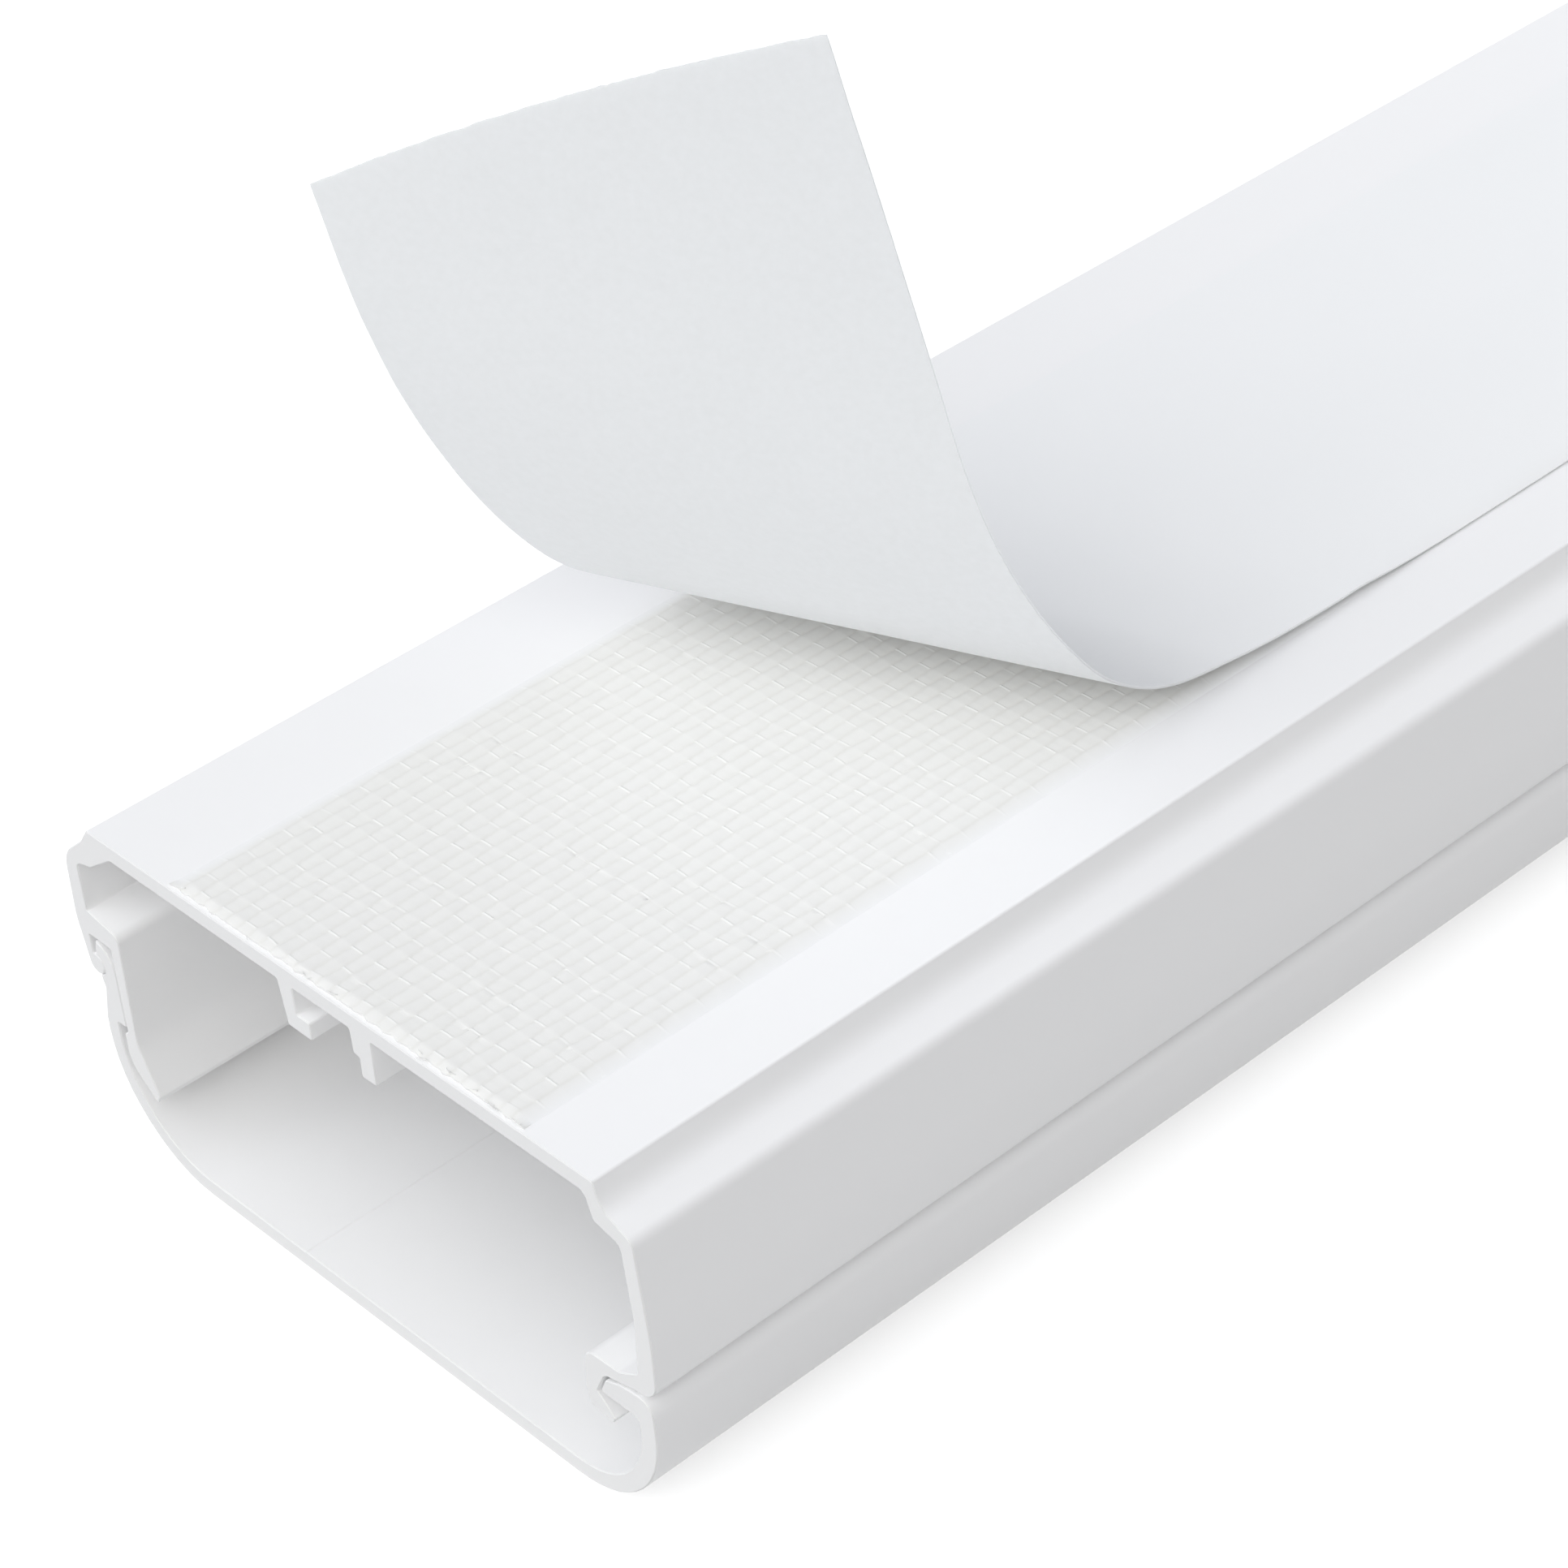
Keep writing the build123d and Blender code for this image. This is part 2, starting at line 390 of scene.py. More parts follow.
def uneven(u, v, layer):
    """Smooth noise from minus one to one over two coordinates, with another pattern in each layer."""
    return noise.noise((u, v, layer))


def uneven_line(u, row):
    """Smooth noise from minus one to one along a line, with another pattern in each row."""
    return noise.noise((u, row, 0.0))


def make_object(name, points, faces, material):
    """Object of a mesh given in millimetres, with outward faces and smooth shading."""
    mesh = bpy.data.meshes.new(name)
    mesh.from_pydata([tuple(p) for p in np.asarray(points) * MM], [], faces)
    work = bmesh.new()
    work.from_mesh(mesh)
    many_sided = [f for f in work.faces if len(f.verts) > 4]
    bmesh.ops.triangulate(work, faces=many_sided, ngon_method="EAR_CLIP")
    bmesh.ops.recalc_face_normals(work, faces=work.faces)
    work.to_mesh(mesh)
    work.free()
    mesh.shade_smooth()
    mesh.set_sharp_from_angle(angle=sharp_angle)
    mesh.materials.append(material)
    made = bpy.data.objects.new(name, mesh)
    bpy.context.scene.collection.objects.link(made)
    return made


def mark_points(made, name, values):
    """Number for each point of an object's mesh, for its material to read."""
    marks = made.data.attributes.new(name, "FLOAT", "POINT")
    marks.data.foreach_set("value", np.ascontiguousarray(values, np.float32))


def bridge(first, second, count):
    """Quads between two closed rings of as many points, given where each ring starts."""
    faces = []
    for here in range(count):
        following = (here + 1) % count
        faces.append((first + here, first + following, second + following, second + here))
    return faces


def grid_faces(rows, columns):
    """Quads of a grid of points."""
    corners = [j * columns + i for j in range(rows - 1) for i in range(columns - 1)]
    return [(a, a + 1, a + columns + 1, a + columns) for a in corners]


def grid_rim(rows, columns):
    """Points round the border of a grid, in order."""
    rim = list(range(columns))
    rim += [j * columns + columns - 1 for j in range(1, rows)]
    rim += [(rows - 1) * columns + i for i in range(columns - 2, -1, -1)]
    rim += [j * columns for j in range(rows - 2, 0, -1)]
    return rim


def extrusion(name, outline, material):
    """Section run over the whole length, with a fine uneven bevel and burr round each sawn end."""
    count = len(outline)
    along = np.roll(outline, -1, 0) - outline
    along /= np.linalg.norm(along, axis=1)[:, None]
    mean = along + np.roll(along, 1, 0)
    mean /= np.linalg.norm(mean, axis=1)[:, None]
    inward = np.stack([-mean[:, 1], mean[:, 0]], 1)
    waver = np.array([uneven(x * saw_waves, z * saw_waves, layer=0.0) for x, z in outline]) * saw_waver
    burr = np.array([uneven(x * burr_waves, z * burr_waves, layer=5.0) for x, z in outline])
    inset = saw_bevel - burr_reach * np.maximum(burr, 0.0)
    unmoved = np.zeros(count)
    stations = [
        (near_end, inset, unmoved),
        (near_end + saw_bevel, unmoved, waver),
        (-near_end - saw_bevel, unmoved, waver),
        (-near_end, inset, unmoved),
    ]
    points = []
    for y, drawn_in, shift in stations:
        ring = outline + inward * drawn_in[:, None]
        points.append(np.stack([ring[:, 0], y + shift, ring[:, 1]], 1))
    faces = []
    for i in range(len(stations) - 1):
        faces += bridge(i * count, (i + 1) * count, count)
    faces.append(tuple(range(count)))
    faces.append(tuple(range((len(stations) - 1) * count, len(stations) * count)))
    made = make_object(name, np.concatenate(points), faces, material)
    flat = made.modifiers.new("flat faces", "WEIGHTED_NORMAL")
    flat.keep_sharp = True
    return made


# Woven adhesive tape: bands along the length, with a groove between each two and feathered long edges
cloth_seed = 11
warp_count = 30
warp_pitch = tape_width / warp_count
band_columns = [0.0, 0.07, 0.16, 0.36, 0.64, 0.84, 0.93]
band_crown = 0.014
band_drop = 0.04
band_wander = 0.1
band_wander_waves = (0.9, 0.35)
band_pinch = 0.06
groove_half = 0.11
groove_depth = 0.017
groove_fill = 0.5
edge_run = 1.0
edge_height = 0.006
cloth_ripple = 0.012
cloth_waves = (0.8, 0.5)

# Cross threads, which pass over every other band and show unequally, to just past the liner's fold
weft_pitch = 1.15
weft_uneven = 0.14
weft_wander = 0.3
weft_wander_waves = (0.2, 3.7)
weft_half = 0.042
weft_rise = 0.023
weft_press = 0.014
press_half = 0.22
weft_shown = 0.9
weft_unequal = 0.6
weft_unequal_waves = (1.7, 2.3)
weft_hidden = 0.12
weft_rows = [-0.12, -0.05, 0.0, 0.05, 0.12]
between_rows = (0.3, 0.5, 0.7)
woven_end = -140.0
plain_start = woven_end + 2.0
plain_rows = 8

# The tape's cut end, its slope as a share of the tape's height, and its loose fibres
cut_slope = 0.55
cut_slope_uneven = 0.2
cut_slope_waves = 2.3
cut_inset = 0.05
cut_uneven = 0.12
cut_waves = 1.9
cut_margin = 0.02
fray_count = 14
fray_radius = 0.03
fray_thickness = (0.6, 1.2)
fray_length = (0.25, 0.8)
fray_steps = 4
fray_sides = 5
fray_spread = 0.495
fray_start = 0.25
fray_outward = 0.7
fray_skew = 0.1
fray_bend = 1.2
fray_depth = 0.03
fray_fall = (0.02, 0.1)
fray_flattening = 0.35
fray_reach = 0.12
fray_marks = (0.0, 0.1, 0.0)


def weft_lines(rng):
    """Places along the length of the woven part's cross threads, unevenly spaced."""
    lines = []
    y = tape_start + weft_pitch / 2
    while y < woven_end:
        lines.append(y)
        y += weft_pitch * (1 + weft_uneven * rng.uniform(-1, 1))
    return lines


def wander(line, x):
    """How far a cross thread strays along the length."""
    across, along = weft_wander_waves
    return weft_wander * uneven(x * across, line * along, layer=4.0)


def tape_rows(lines):
    """Rows of the tape's top: (place, index of the nearest cross thread, offset from it)."""
    rows = [(tape_start, 0, weft_pitch)]
    for i, line in enumerate(lines):
        rows += [(line + d, i, d) for d in weft_rows]
        if i + 1 < len(lines):
            gap = lines[i + 1] - line
            rows += [(line + gap * share, i, gap * min(share, 1 - share)) for share in between_rows]
    far = np.linspace(plain_start, tape_end, plain_rows)
    return rows + [(y, len(lines) - 1, weft_pitch) for y in far]


def tape_point(share, row, line, at_cut):
    """Point of the tape's top, counted in bands across, and its marks: groove, thread and edge."""
    y, index, offset = row
    band = min(int(share), warp_count - 1)
    within = share - band
    x = tape_left + share * warp_pitch
    groove = np.exp(-(min(within, 1 - within) * warp_pitch / groove_half) ** 2)
    z = tape_top - band_drop + band_crown * (1 - (2 * within - 1) ** 2) - groove_depth * groove
    over = (band + index) % 2 == 0
    unequal = uneven(band * weft_unequal_waves[0], index * weft_unequal_waves[1], layer=9.0)
    thread = (weft_shown + weft_unequal * unequal) * np.exp(-(offset / weft_half) ** 2)
    press = np.exp(-(offset / press_half) ** 2)
    if over:
        z += (weft_rise + groove_fill * groove_depth * groove) * thread - weft_press * press * (1 - groove)
    else:
        z += weft_press * press * (1 - groove)
    z += cloth_ripple * uneven(x * cloth_waves[0], y * cloth_waves[1], layer=1.0)
    slope = min(1.0, min(share, warp_count - share) / edge_run)
    edge = 1 - slope
    if at_cut:
        slope = cut_slope + cut_slope_uneven * uneven_line(x * cut_slope_waves, row=4.0)
        edge = 0.0
    z = height + edge_height + (z - height - edge_height) * slope
    x += slope * band_wander * uneven(share * band_wander_waves[0], y * band_wander_waves[1], layer=2.0)
    x += slope * band_pinch * press * (1 if over else -1) * (1 - 2 * within)
    if at_cut:
        y = y + cut_uneven * uneven_line(x * cut_waves, row=7.0) + cut_inset
    elif y < woven_end:
        y += wander(line, x)
    shown = thread * (1.0 if over else weft_hidden)
    return (x, max(y, near_end + cut_margin), z), (groove, shown, edge)


def strand(path, radius):
    """Points and faces of a thin closed tube along a short path."""
    points = []
    for i, place in enumerate(path):
        ahead = path[min(i + 1, len(path) - 1)] - path[max(i - 1, 0)]
        across = ahead.cross(Vector((0.0, 0.0, 1.0))).normalized()
        upward = across.cross(ahead).normalized()
        for k in range(fray_sides):
            turn = 2 * pi * k / fray_sides
            points.append(place + radius * (cos(turn) * across + sin(turn) * upward))
    faces = []
    for i in range(len(path) - 1):
        faces += bridge(i * fray_sides, (i + 1) * fray_sides, fray_sides)
    faces.append(tuple(range(fray_sides)))
    faces.append(tuple(range((len(path) - 1) * fray_sides, len(path) * fray_sides)))
    return points, faces


def frayed_ends(rng):
    """Paths of the loose fibres along the tape's cut end."""
    paths = []
    for _ in range(fray_count):
        x = tape_offset + tape_width * rng.uniform(-fray_spread, fray_spread)
        y = tape_start + rng.uniform(0.0, fray_start)
        outward = rng.uniform() < fray_outward
        heading = rng.uniform(-pi, 0.0) if outward else rng.choice([fray_skew, pi - fray_skew])
        bend = rng.uniform(-fray_bend, fray_bend)
        run = rng.uniform(*fray_length)
        path = []
        for step in range(fray_steps + 1):
            share = step / fray_steps
            turn = heading + bend * share
            fall = share * rng.uniform(*fray_fall)
            place = Vector((x, y, tape_top - fray_depth - fall))
            place += run * share * Vector((cos(turn), fray_flattening * sin(turn), 0.0))
            place.y = max(place.y, near_end - fray_reach)
            path.append(place)
        paths.append(path)
    return paths


def woven_tape(material):
    """Tape whose exposed end has its warp bands, grooves and cross threads in the mesh."""
    rng = np.random.default_rng(cloth_seed)
    lines = weft_lines(rng)
    rows = tape_rows(lines)
    shares = [k + f for k in range(warp_count) for f in band_columns] + [float(warp_count)]
    points = []
    marks = []
    for j, row in enumerate(rows):
        for share in shares:
            point, point_marks = tape_point(share, row, lines[row[1]], at_cut=(j == 0))
            points.append(point)
            marks.append(point_marks)
    top = len(points)
    faces = grid_faces(len(rows), len(shares))
    rim = grid_rim(len(rows), len(shares))
    count = len(rim)
    for i in rim:
        x, y, _ = points[i]
        points.append((x, y, height))
        marks.append((0.0, 0.0, 1.0))
    for i in range(count):
        following = (i + 1) % count
        faces.append((rim[i], rim[following], top + following, top + i))
    faces.append(tuple(range(top, top + count)))
    for path in frayed_ends(rng):
        tube, sides = strand(path, fray_radius * rng.uniform(*fray_thickness))
        faces += [tuple(len(points) + k for k in face) for face in sides]
        points += [tuple(p) for p in tube]
        marks += [fray_marks] * len(tube)
    made = make_object("woven_tape", points, faces, material)
    for name, values in zip(("groove", "thread", "edge"), np.array(marks).T):
        mark_points(made, name, values)
    return made


# Paper release liner
flap_rows = 84
laid_rows = 46
liner_columns = 90
laid_spacing = 1.6
liner_float = 0.03
edge_sag = 0.25
sag_width = 1.0
corner_lift = 0.08
corner_run = 5.0
lift_width = 4.5
lift_start = 8.0
free_start = 9.0
free_run = 14.0
paper_ripple = 0.12
paper_waves = 0.12

# Unevenness of its end and its long edges, each as (height, waves)
end_broad = (0.05, 0.9)
end_fine = (0.05, 3.1)
nick_broad = (0.03, 0.35)
nick_fine = (0.012, 1.3)
nick_sides = 5.0
nick_fading = 40


def curl(run):
    """Forward and upward travel after a length of the curl, arc by arc and then straight."""
    forward = 0.0
    upward = 0.0
    heading = 0.0
    for arc_length, turn in curl_arcs:
        step = min(run, arc_length)
        bend = radians(turn) / arc_length
        forward += (sin(heading + bend * step) - sin(heading)) / bend
        upward += (cos(heading) - cos(heading + bend * step)) / bend
        heading += bend * step
        run -= step
    return forward + run * cos(heading), upward + run * sin(heading)


def peel_line(x):
    """Where along the length the liner leaves the tape."""
    return peel_y + (x - tape_offset) * tan(radians(peel_angle))


def peeled_place(x, y):
    """Place of a point of the flat liner after its near end is curled up."""
    turn = radians(peel_angle)
    across = (x - tape_offset) * cos(turn) + (y - peel_y) * sin(turn)
    beyond = (x - tape_offset) * sin(turn) - (y - peel_y) * cos(turn)
    narrowing = 1 - across / curl_apex
    forward, upward = [narrowing * v for v in curl(max(beyond, 0.0) / narrowing)]
    if beyond < 0.0:
        forward = beyond
    return Vector((
        tape_offset + across * cos(turn) + forward * sin(turn),
        peel_y + across * sin(turn) - forward * cos(turn),
        tape_top + liner_float + upward,
    ))


def clamped(value):
    """Value held between none and one."""
    return min(1.0, max(0.0, value))


def edge_rise(x, y):
    """Rise of the liner's latch-side edge: lifted at the peeled corner, then sagging off the tape."""
    inset = tape_right - x
    beyond = y - peel_line(x)
    lift = corner_lift * np.exp(-max(beyond, 0.0) / corner_run) * max(0.0, 1 - inset / lift_width) ** 2
    sag = edge_sag * clamped(beyond / corner_run) * max(0.0, 1 - inset / sag_width) ** 2
    return clamped(1 + beyond / lift_start) * lift - sag


def freed(x, y):
    """How far a point of the liner has come off the tape, from none to one."""
    return clamped((peel_line(x) - y - free_start) / free_run)


def end_waver(x):
    """Unevenness of the liner's cut end."""
    broad = end_broad[0] * uneven_line(x * end_broad[1], row=3.0)
    return broad + end_fine[0] * uneven_line(x * end_fine[1], row=9.0)


def edge_nick(side, y):
    """Unevenness of the liner's long edges, which fades out within them."""
    broad = nick_broad[0] * uneven(y * nick_broad[1], side * nick_sides, layer=2.0)
    fine = nick_fine[0] * uneven(y * nick_fine[1], side * nick_sides, layer=6.0)
    return (broad + fine) * abs(side) ** nick_fading


def liner_grid():
    """Rows of points on the liner's underside from its free end on, and how free each stands."""
    rows = []
    loose = []
    for i in range(flap_rows + laid_rows + 1):
        row = []
        for side in np.linspace(-1, 1, liner_columns + 1):
            x = tape_offset + side * tape_width / 2
            end = near_end - liner_overhang - liner_end_bow * (1 - side ** 2) + end_waver(x)
            start = peel_line(x)
            if i <= flap_rows:
                y = end + (start - end) * i / flap_rows
            else:
                y = start + (tape_end - start) * ((i - flap_rows) / laid_rows) ** laid_spacing
            ripple = uneven(x * paper_waves, y * paper_waves, layer=8.0)
            place = peeled_place(x + edge_nick(side, y), y)
            place.y += paper_ripple * freed(x, y) * ripple
            place.z += edge_rise(x, y)
            row.append(place)
            loose.append(freed(x, y))
        rows.append(row)
    return np.array(rows), loose


def release_liner(material):
    """Liner laid on the tape with its near end curled up, its cut edges slightly uneven."""
    under, loose = liner_grid()
    normal = np.cross(np.gradient(under, axis=1), np.gradient(under, axis=0))
    normal /= np.linalg.norm(normal, axis=2)[:, :, None]
    over = under + liner_thickness * normal
    rows, columns = under.shape[:2]
    points = np.concatenate([under.reshape(-1, 3), over.reshape(-1, 3)])
    layer = rows * columns
    faces = grid_faces(rows, columns)
    faces += [tuple(layer + k for k in quad) for quad in faces]
    rim = grid_rim(rows, columns)
    for here, following in zip(rim, rim[1:] + rim[:1]):
        faces.append((here, following, layer + following, layer + here))
    made = make_object("paper_liner", points, faces, material)
    mark_points(made, "free", loose + loose)
    mark_points(made, "under", [1.0] * layer + [0.0] * layer)
    return made


# Materials: colours, roughness, noise by its waves to the metre along each axis,
# and relief as (strength, depth)
white_plastic = (0.95, 0.95, 0.955)
plastic_cloud = 0.02
plastic_cloud_waves = (60.0, 18.0, 60.0)
plastic_grain_waves = (1500.0, 1500.0, 1500.0)
plastic_line_waves = (900.0, 4.0, 900.0)
plastic_rough = (0.34, 0.46)
plastic_relief = (0.12, 0.02)
cut_facing = (0.25, 0.5)
# Painted shade: share of the plastic's colour kept on the sawn end faces, which face the front lamps;
# partly the rough cut's own dullness
sawn_painted_shade = 0.76
sawn_rough = 0.6
sawn_waves = (500.0, 300.0, 5000.0)
sawn_turn = (0.0, radians(38), 0.0)
cloth_ground = ((0.875, 0.87, 0.86), (0.88, 0.88, 0.855))
# Painted shade: darker colour laid into the tape's grooves
groove_painted_shade = (0.835, 0.83, 0.805)
cloth_thread = (0.92, 0.92, 0.905)
cloth_glue = (0.94, 0.945, 0.95)
# Painted shade on the tape's cut end, which faces the front lamps
cut_painted_shade = (0.71, 0.71, 0.705)
cloth_cloud_waves = (90.0, 45.0, 90.0)
cloth_fibre_waves = (9000.0, 900.0, 9000.0)
cloth_rough = 0.5
cloth_relief = (0.15, 0.01)
paper_face = ((0.93, 0.94, 0.945), (0.955, 0.96, 0.965))
# Painted shade: darker colour of the liner's underside, which shows on the curled flap
underside_painted_shade = ((0.755, 0.763, 0.767), (0.803, 0.811, 0.82))
paper_cloud_waves = (160.0, 110.0, 160.0)
paper_fibre_waves = (2600.0, 1500.0, 2600.0)
paper_rough = (0.55, 0.7)
paper_relief = (0.1, 0.02)
paper_passes = 0.5
plain_detail = 2.0
saw_detail = 3.0
paper_fibre_detail = 5.0
paper_cloud_detail = 6.0

# A mix node's two inputs and its output, by what it mixes
mix_sockets = {"RGBA": (6, 7, 2), "FLOAT": (2, 3, 0)}


def feed(tree, socket, value):
    """Gives a socket a value, or links another node's output to it."""
    if isinstance(value, bpy.types.NodeSocket):
        tree.links.new(value, socket)
    else:
        socket.default_value = value


def add(tree, kind, settings=None, **inputs):
    """Node with its settings and its inputs, each a value or another node's output."""
    made = tree.nodes.new(kind)
    for key, value in (settings or {}).items():
        setattr(made, key, value)
    for key, value in inputs.items():
        feed(tree, made.inputs[key.replace("_", " ")], value)
    return made


def opaque(colour):
    """Colour with full cover."""
    return (*colour, 1.0)


def mix(tree, kind, factor, first, second):
    """Output between two values or two colours, each given or another node's output."""
    made = add(tree, "ShaderNodeMix", {"data_type": kind}, Factor=factor)
    from_socket, to_socket, result = mix_sockets[kind]
    feed(tree, made.inputs[from_socket], first)
    feed(tree, made.inputs[to_socket], second)
    return made.outputs[result]


def combine(tree, operation, first, second):
    """Output of one operation on two numbers, each given or another node's output."""
    made = add(tree, "ShaderNodeMath", {"operation": operation})
    feed(tree, made.inputs[0], first)
    feed(tree, made.inputs[1], second)
    return made.outputs[0]


def mixed_shaders(tree, factor, first, second):
    """Output of one shader fading into another."""
    made = add(tree, "ShaderNodeMixShader", Fac=factor)
    feed(tree, made.inputs[1], first)
    feed(tree, made.inputs[2], second)
    return made.outputs[0]


def ranged(tree, value, low, high):
    """Number from none to one brought into a range."""
    return add(tree, "ShaderNodeMapRange", Value=value, To_Min=low, To_Max=high).outputs[0]


def mark(tree, name):
    """Number that the mesh carries at each point."""
    return add(tree, "ShaderNodeAttribute", {"attribute_name": name}).outputs["Fac"]


def new_material(name):
    """Material with only its output and a Principled shader."""
    made = bpy.data.materials.new(name)
    made.use_nodes = True
    tree = made.node_tree
    return made, tree, tree.nodes["Principled BSDF"]


def stretched_noise(tree, waves, detail, turn=(0.0, 0.0, 0.0)):
    """Noise over the object's own coordinates, with its own waves along each axis."""
    place = add(tree, "ShaderNodeTexCoord").outputs["Object"]
    mapped = add(tree, "ShaderNodeMapping", Vector=place, Scale=waves, Rotation=turn)
    made = add(tree, "ShaderNodeTexNoise", Vector=mapped.outputs["Vector"], Scale=1.0, Detail=detail)
    return made.outputs["Fac"]


def relieve(tree, shader, shape, strength, depth):
    """Fine bump on a shader's surface, with its depth in millimetres."""
    bump = add(tree, "ShaderNodeBump", Strength=strength, Distance=depth * MM, Height=shape)
    tree.links.new(bump.outputs["Normal"], shader.inputs["Normal"])


def cut_faces(tree):
    """One on faces across the length, which were cut, and none on the rest."""
    normal = add(tree, "ShaderNodeNewGeometry").outputs["Normal"]
    facing = add(tree, "ShaderNodeSeparateXYZ", Vector=normal).outputs["Y"]
    size = add(tree, "ShaderNodeMath", {"operation": "ABSOLUTE"})
    tree.links.new(facing, size.inputs[0])
    low, high = cut_facing
    return add(tree, "ShaderNodeMapRange", From_Min=low, From_Max=high, Value=size.outputs[0]).outputs[0]


def plastic(name, colour):
    """White extruded plastic: faint lines along the length, fine grain, sawn end faces rough and darker
    with painted shade.
    """
    made, tree, shader = new_material(name)
    lines = stretched_noise(tree, plastic_line_waves, plain_detail)
    grain = stretched_noise(tree, plastic_grain_waves, plain_detail)
    cloud = stretched_noise(tree, plastic_cloud_waves, plain_detail)
    saw = stretched_noise(tree, sawn_waves, saw_detail, sawn_turn)
    sawn = cut_faces(tree)
    deep = opaque([c * (1 - plastic_cloud) for c in colour])
    pale = opaque([min(1.0, c * (1 + plastic_cloud)) for c in colour])
    # The sawn end faces get a darker copy of the colour, painted shade
    shaded_cut = opaque([c * sawn_painted_shade for c in colour])
    tint = mix(tree, "RGBA", cloud, deep, pale)
    feed(tree, shader.inputs["Base Color"], mix(tree, "RGBA", sawn, tint, shaded_cut))
    rough = ranged(tree, grain, *plastic_rough)
    feed(tree, shader.inputs["Roughness"], mix(tree, "FLOAT", sawn, rough, sawn_rough))
    relieve(tree, shader, mix(tree, "FLOAT", sawn, lines, saw), *plastic_relief)
    return made


def cloth(name):
    """Woven cloth under a thin tacky film: off-white, with painted shade in its grooves and on its cut
    end.
    """
    made, tree, shader = new_material(name)
    cloud = stretched_noise(tree, cloth_cloud_waves, plain_detail)
    fibre = stretched_noise(tree, cloth_fibre_waves, plain_detail)
    tint = mix(tree, "RGBA", cloud, *[opaque(c) for c in cloth_ground])
    # The grooves are darkened with painted shade
    tint = mix(tree, "RGBA", mark(tree, "groove"), tint, opaque(groove_painted_shade))
    tint = mix(tree, "RGBA", mark(tree, "thread"), tint, opaque(cloth_thread))
    tint = mix(tree, "RGBA", mark(tree, "edge"), tint, opaque(cloth_glue))
    # The tape's cut end is darkened with painted shade
    tint = mix(tree, "RGBA", cut_faces(tree), tint, opaque(cut_painted_shade))
    feed(tree, shader.inputs["Base Color"], tint)
    feed(tree, shader.inputs["Roughness"], cloth_rough)
    relieve(tree, shader, fibre, *cloth_relief)
    return made


def paper(name):
    """Matte coated paper with a fine fibre, its underside darker with painted shade, which lets light
    through where it stands free.
    """
    made, tree, shader = new_material(name)
    fibre = stretched_noise(tree, paper_fibre_waves, paper_fibre_detail)
    cloud = stretched_noise(tree, paper_cloud_waves, paper_cloud_detail)
    face = mix(tree, "RGBA", cloud, *[opaque(c) for c in paper_face])
    # The underside gets a darker colour, painted shade
    shaded_underside = mix(tree, "RGBA", fibre, *[opaque(c) for c in underside_painted_shade])
    tint = mix(tree, "RGBA", mark(tree, "under"), face, shaded_underside)
    feed(tree, shader.inputs["Base Color"], tint)
    feed(tree, shader.inputs["Roughness"], ranged(tree, fibre, *paper_rough))
    relieve(tree, shader, fibre, *paper_relief)
    passed = add(tree, "ShaderNodeBsdfTranslucent", Color=tint).outputs[0]
    share = ranged(tree, mark(tree, "free"), 0.0, paper_passes)
    surface = mixed_shaders(tree, share, shader.outputs[0], passed)
    feed(tree, tree.nodes["Material Output"].inputs["Surface"], surface)
    return made


# Stage: floor, white surround, lamps and camera, with places in metres
pure_white = (1.0, 1.0, 1.0, 1.0)
floor_side = 6.0
floor_colour = 0.65
floor_glow = 0.6
surround_light = 0.02
camera_place = (0.1347, -0.2830, 0.1443)
camera_aim = (-0.62298, 0.51054, -0.59266)
camera_roll = 5.57
camera_lens = 103.8
camera_nearest = 0.01
lamp_spread = 80.0

# Each lamp's direction, strength and colour
lamps = {
    "front high": ((0.0, -0.6, 0.8), 1.13, (0.945, 0.965, 1.0)),
    "front left": ((-0.65, -0.6, 0.5), 1.27, (0.96, 0.978, 1.0)),
    "front right": ((0.6, -0.65, 0.5), 1.06, (1.0, 0.98, 0.93)),
    "front": ((0.0, -0.85, 0.53), 0.5, (1.0, 1.0, 0.99)),
    "back": ((0.1, 0.75, 0.65), 0.87, (0.885, 0.91, 1.0)),
}


def seen_directly(tree):
    """One where a ray comes from the camera, a gloss or a clear surface."""
    path = add(tree, "ShaderNodeLightPath").outputs
    first = combine(tree, "MAXIMUM", path["Is Camera Ray"], path["Is Glossy Ray"])
    return combine(tree, "MAXIMUM", first, path["Is Transmission Ray"])


def surround():
    """World that lights softly and looks plain white."""
    world = bpy.data.worlds.new("surround")
    bpy.context.scene.world = world
    world.use_nodes = True
    tree = world.node_tree
    tree.nodes.clear()
    light = add(tree, "ShaderNodeBackground", Color=pure_white, Strength=surround_light).outputs[0]
    white = add(tree, "ShaderNodeBackground", Color=pure_white, Strength=1.0).outputs[0]
    add(tree, "ShaderNodeOutputWorld", Surface=mixed_shaders(tree, seen_directly(tree), light, white))


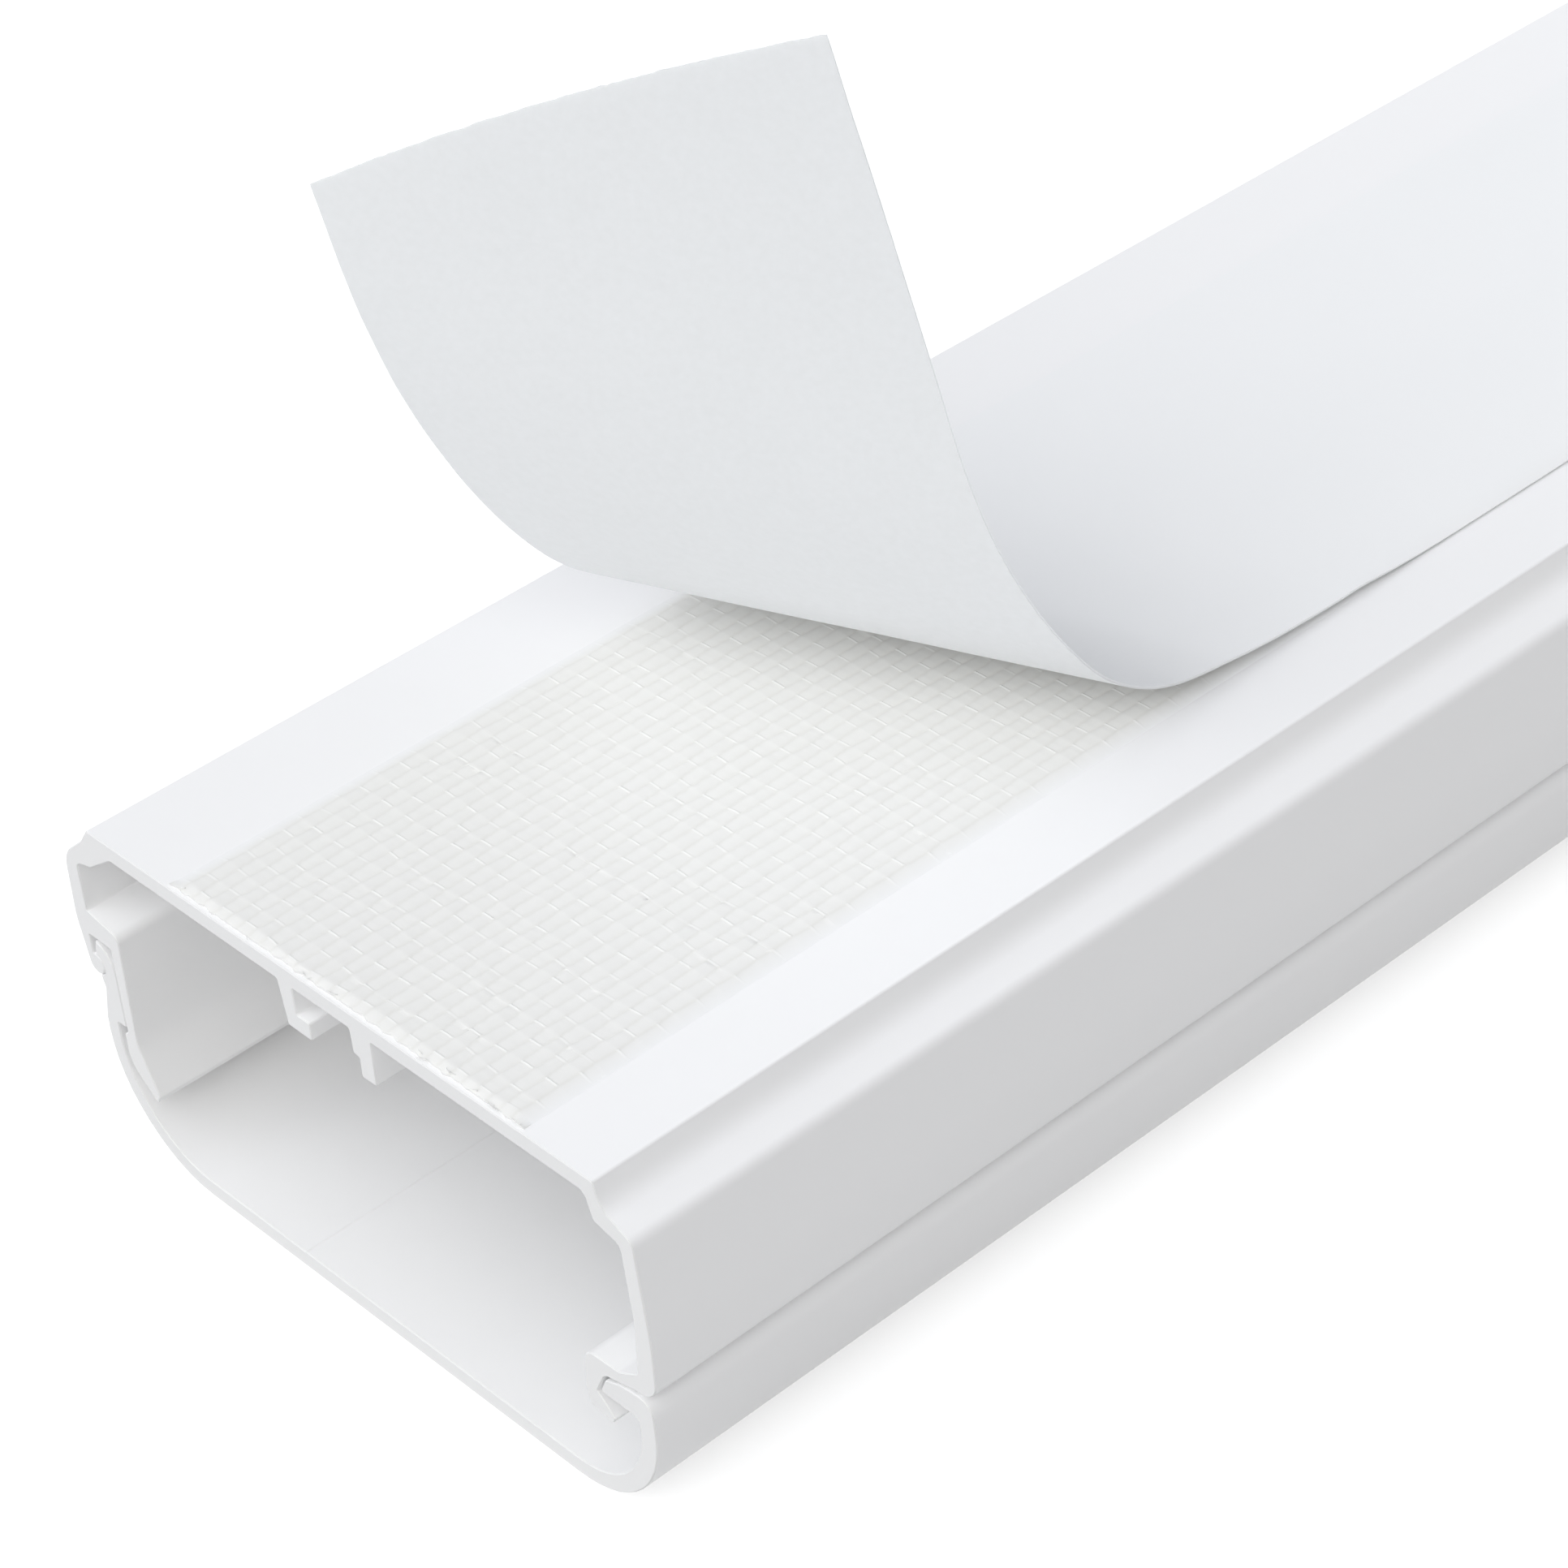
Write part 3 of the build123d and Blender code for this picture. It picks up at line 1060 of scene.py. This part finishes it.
def floor():
    """Pale floor that looks white away from the object's shadow."""
    made = bpy.data.materials.new("floor")
    made.use_nodes = True
    tree = made.node_tree
    tree.nodes.clear()
    matt = add(tree, "ShaderNodeBsdfDiffuse", Color=opaque([floor_colour] * 3))
    share = combine(tree, "MULTIPLY", seen_directly(tree), floor_glow)
    glow = add(tree, "ShaderNodeEmission", Color=pure_white, Strength=share)
    both = add(tree, "ShaderNodeAddShader")
    feed(tree, both.inputs[0], matt.outputs[0])
    feed(tree, both.inputs[1], glow.outputs[0])
    add(tree, "ShaderNodeOutputMaterial", Surface=both.outputs[0])
    bpy.ops.mesh.primitive_plane_add(size=floor_side)
    plane = bpy.context.object
    plane.name = "floor"
    plane.data.materials.append(made)


def lamp(name, towards, strength, colour):
    """Very soft lamp far away in a direction."""
    data = bpy.data.lights.new(name, "SUN")
    data.angle = radians(lamp_spread)
    data.energy = strength
    data.color = colour
    made = bpy.data.objects.new(name, data)
    made.rotation_euler = (-Vector(towards)).to_track_quat("-Z", "Y").to_euler()
    bpy.context.scene.collection.objects.link(made)


def camera():
    """Camera at the photograph's place, angle and lens."""
    data = bpy.data.cameras.new("camera")
    data.lens = camera_lens
    data.clip_start = camera_nearest
    made = bpy.data.objects.new("camera", data)
    aim = Vector(camera_aim).to_track_quat("-Z", "Y").to_matrix()
    roll = Matrix.Rotation(radians(-camera_roll), 3, "Z")
    made.matrix_world = Matrix.Translation(camera_place) @ (aim @ roll).to_4x4()
    bpy.context.scene.collection.objects.link(made)
    bpy.context.scene.camera = made


# The pieces, each on its body, and the stage round them

base_outline = rounded(latch_side() + ribs() + hinge_side())
base = extrusion("base_shell", base_outline, plastic("base_plastic", white_plastic))
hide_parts("base_channel")
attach(base, "base")

lid = extrusion("cover_shell", rounded(cover_side()), plastic("cover_plastic", white_plastic))
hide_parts("cover")
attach(lid, "cover")

tape = woven_tape(cloth("woven_tape"))
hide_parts("adhesive_tape")
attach(tape, "base")

liner = release_liner(paper("liner_paper"))
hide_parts("release_liner")
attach(liner, "base")

surround()
floor()
for name, settings in lamps.items():
    lamp(name, *settings)
camera()
bpy.context.scene.view_settings.view_transform = "Standard"
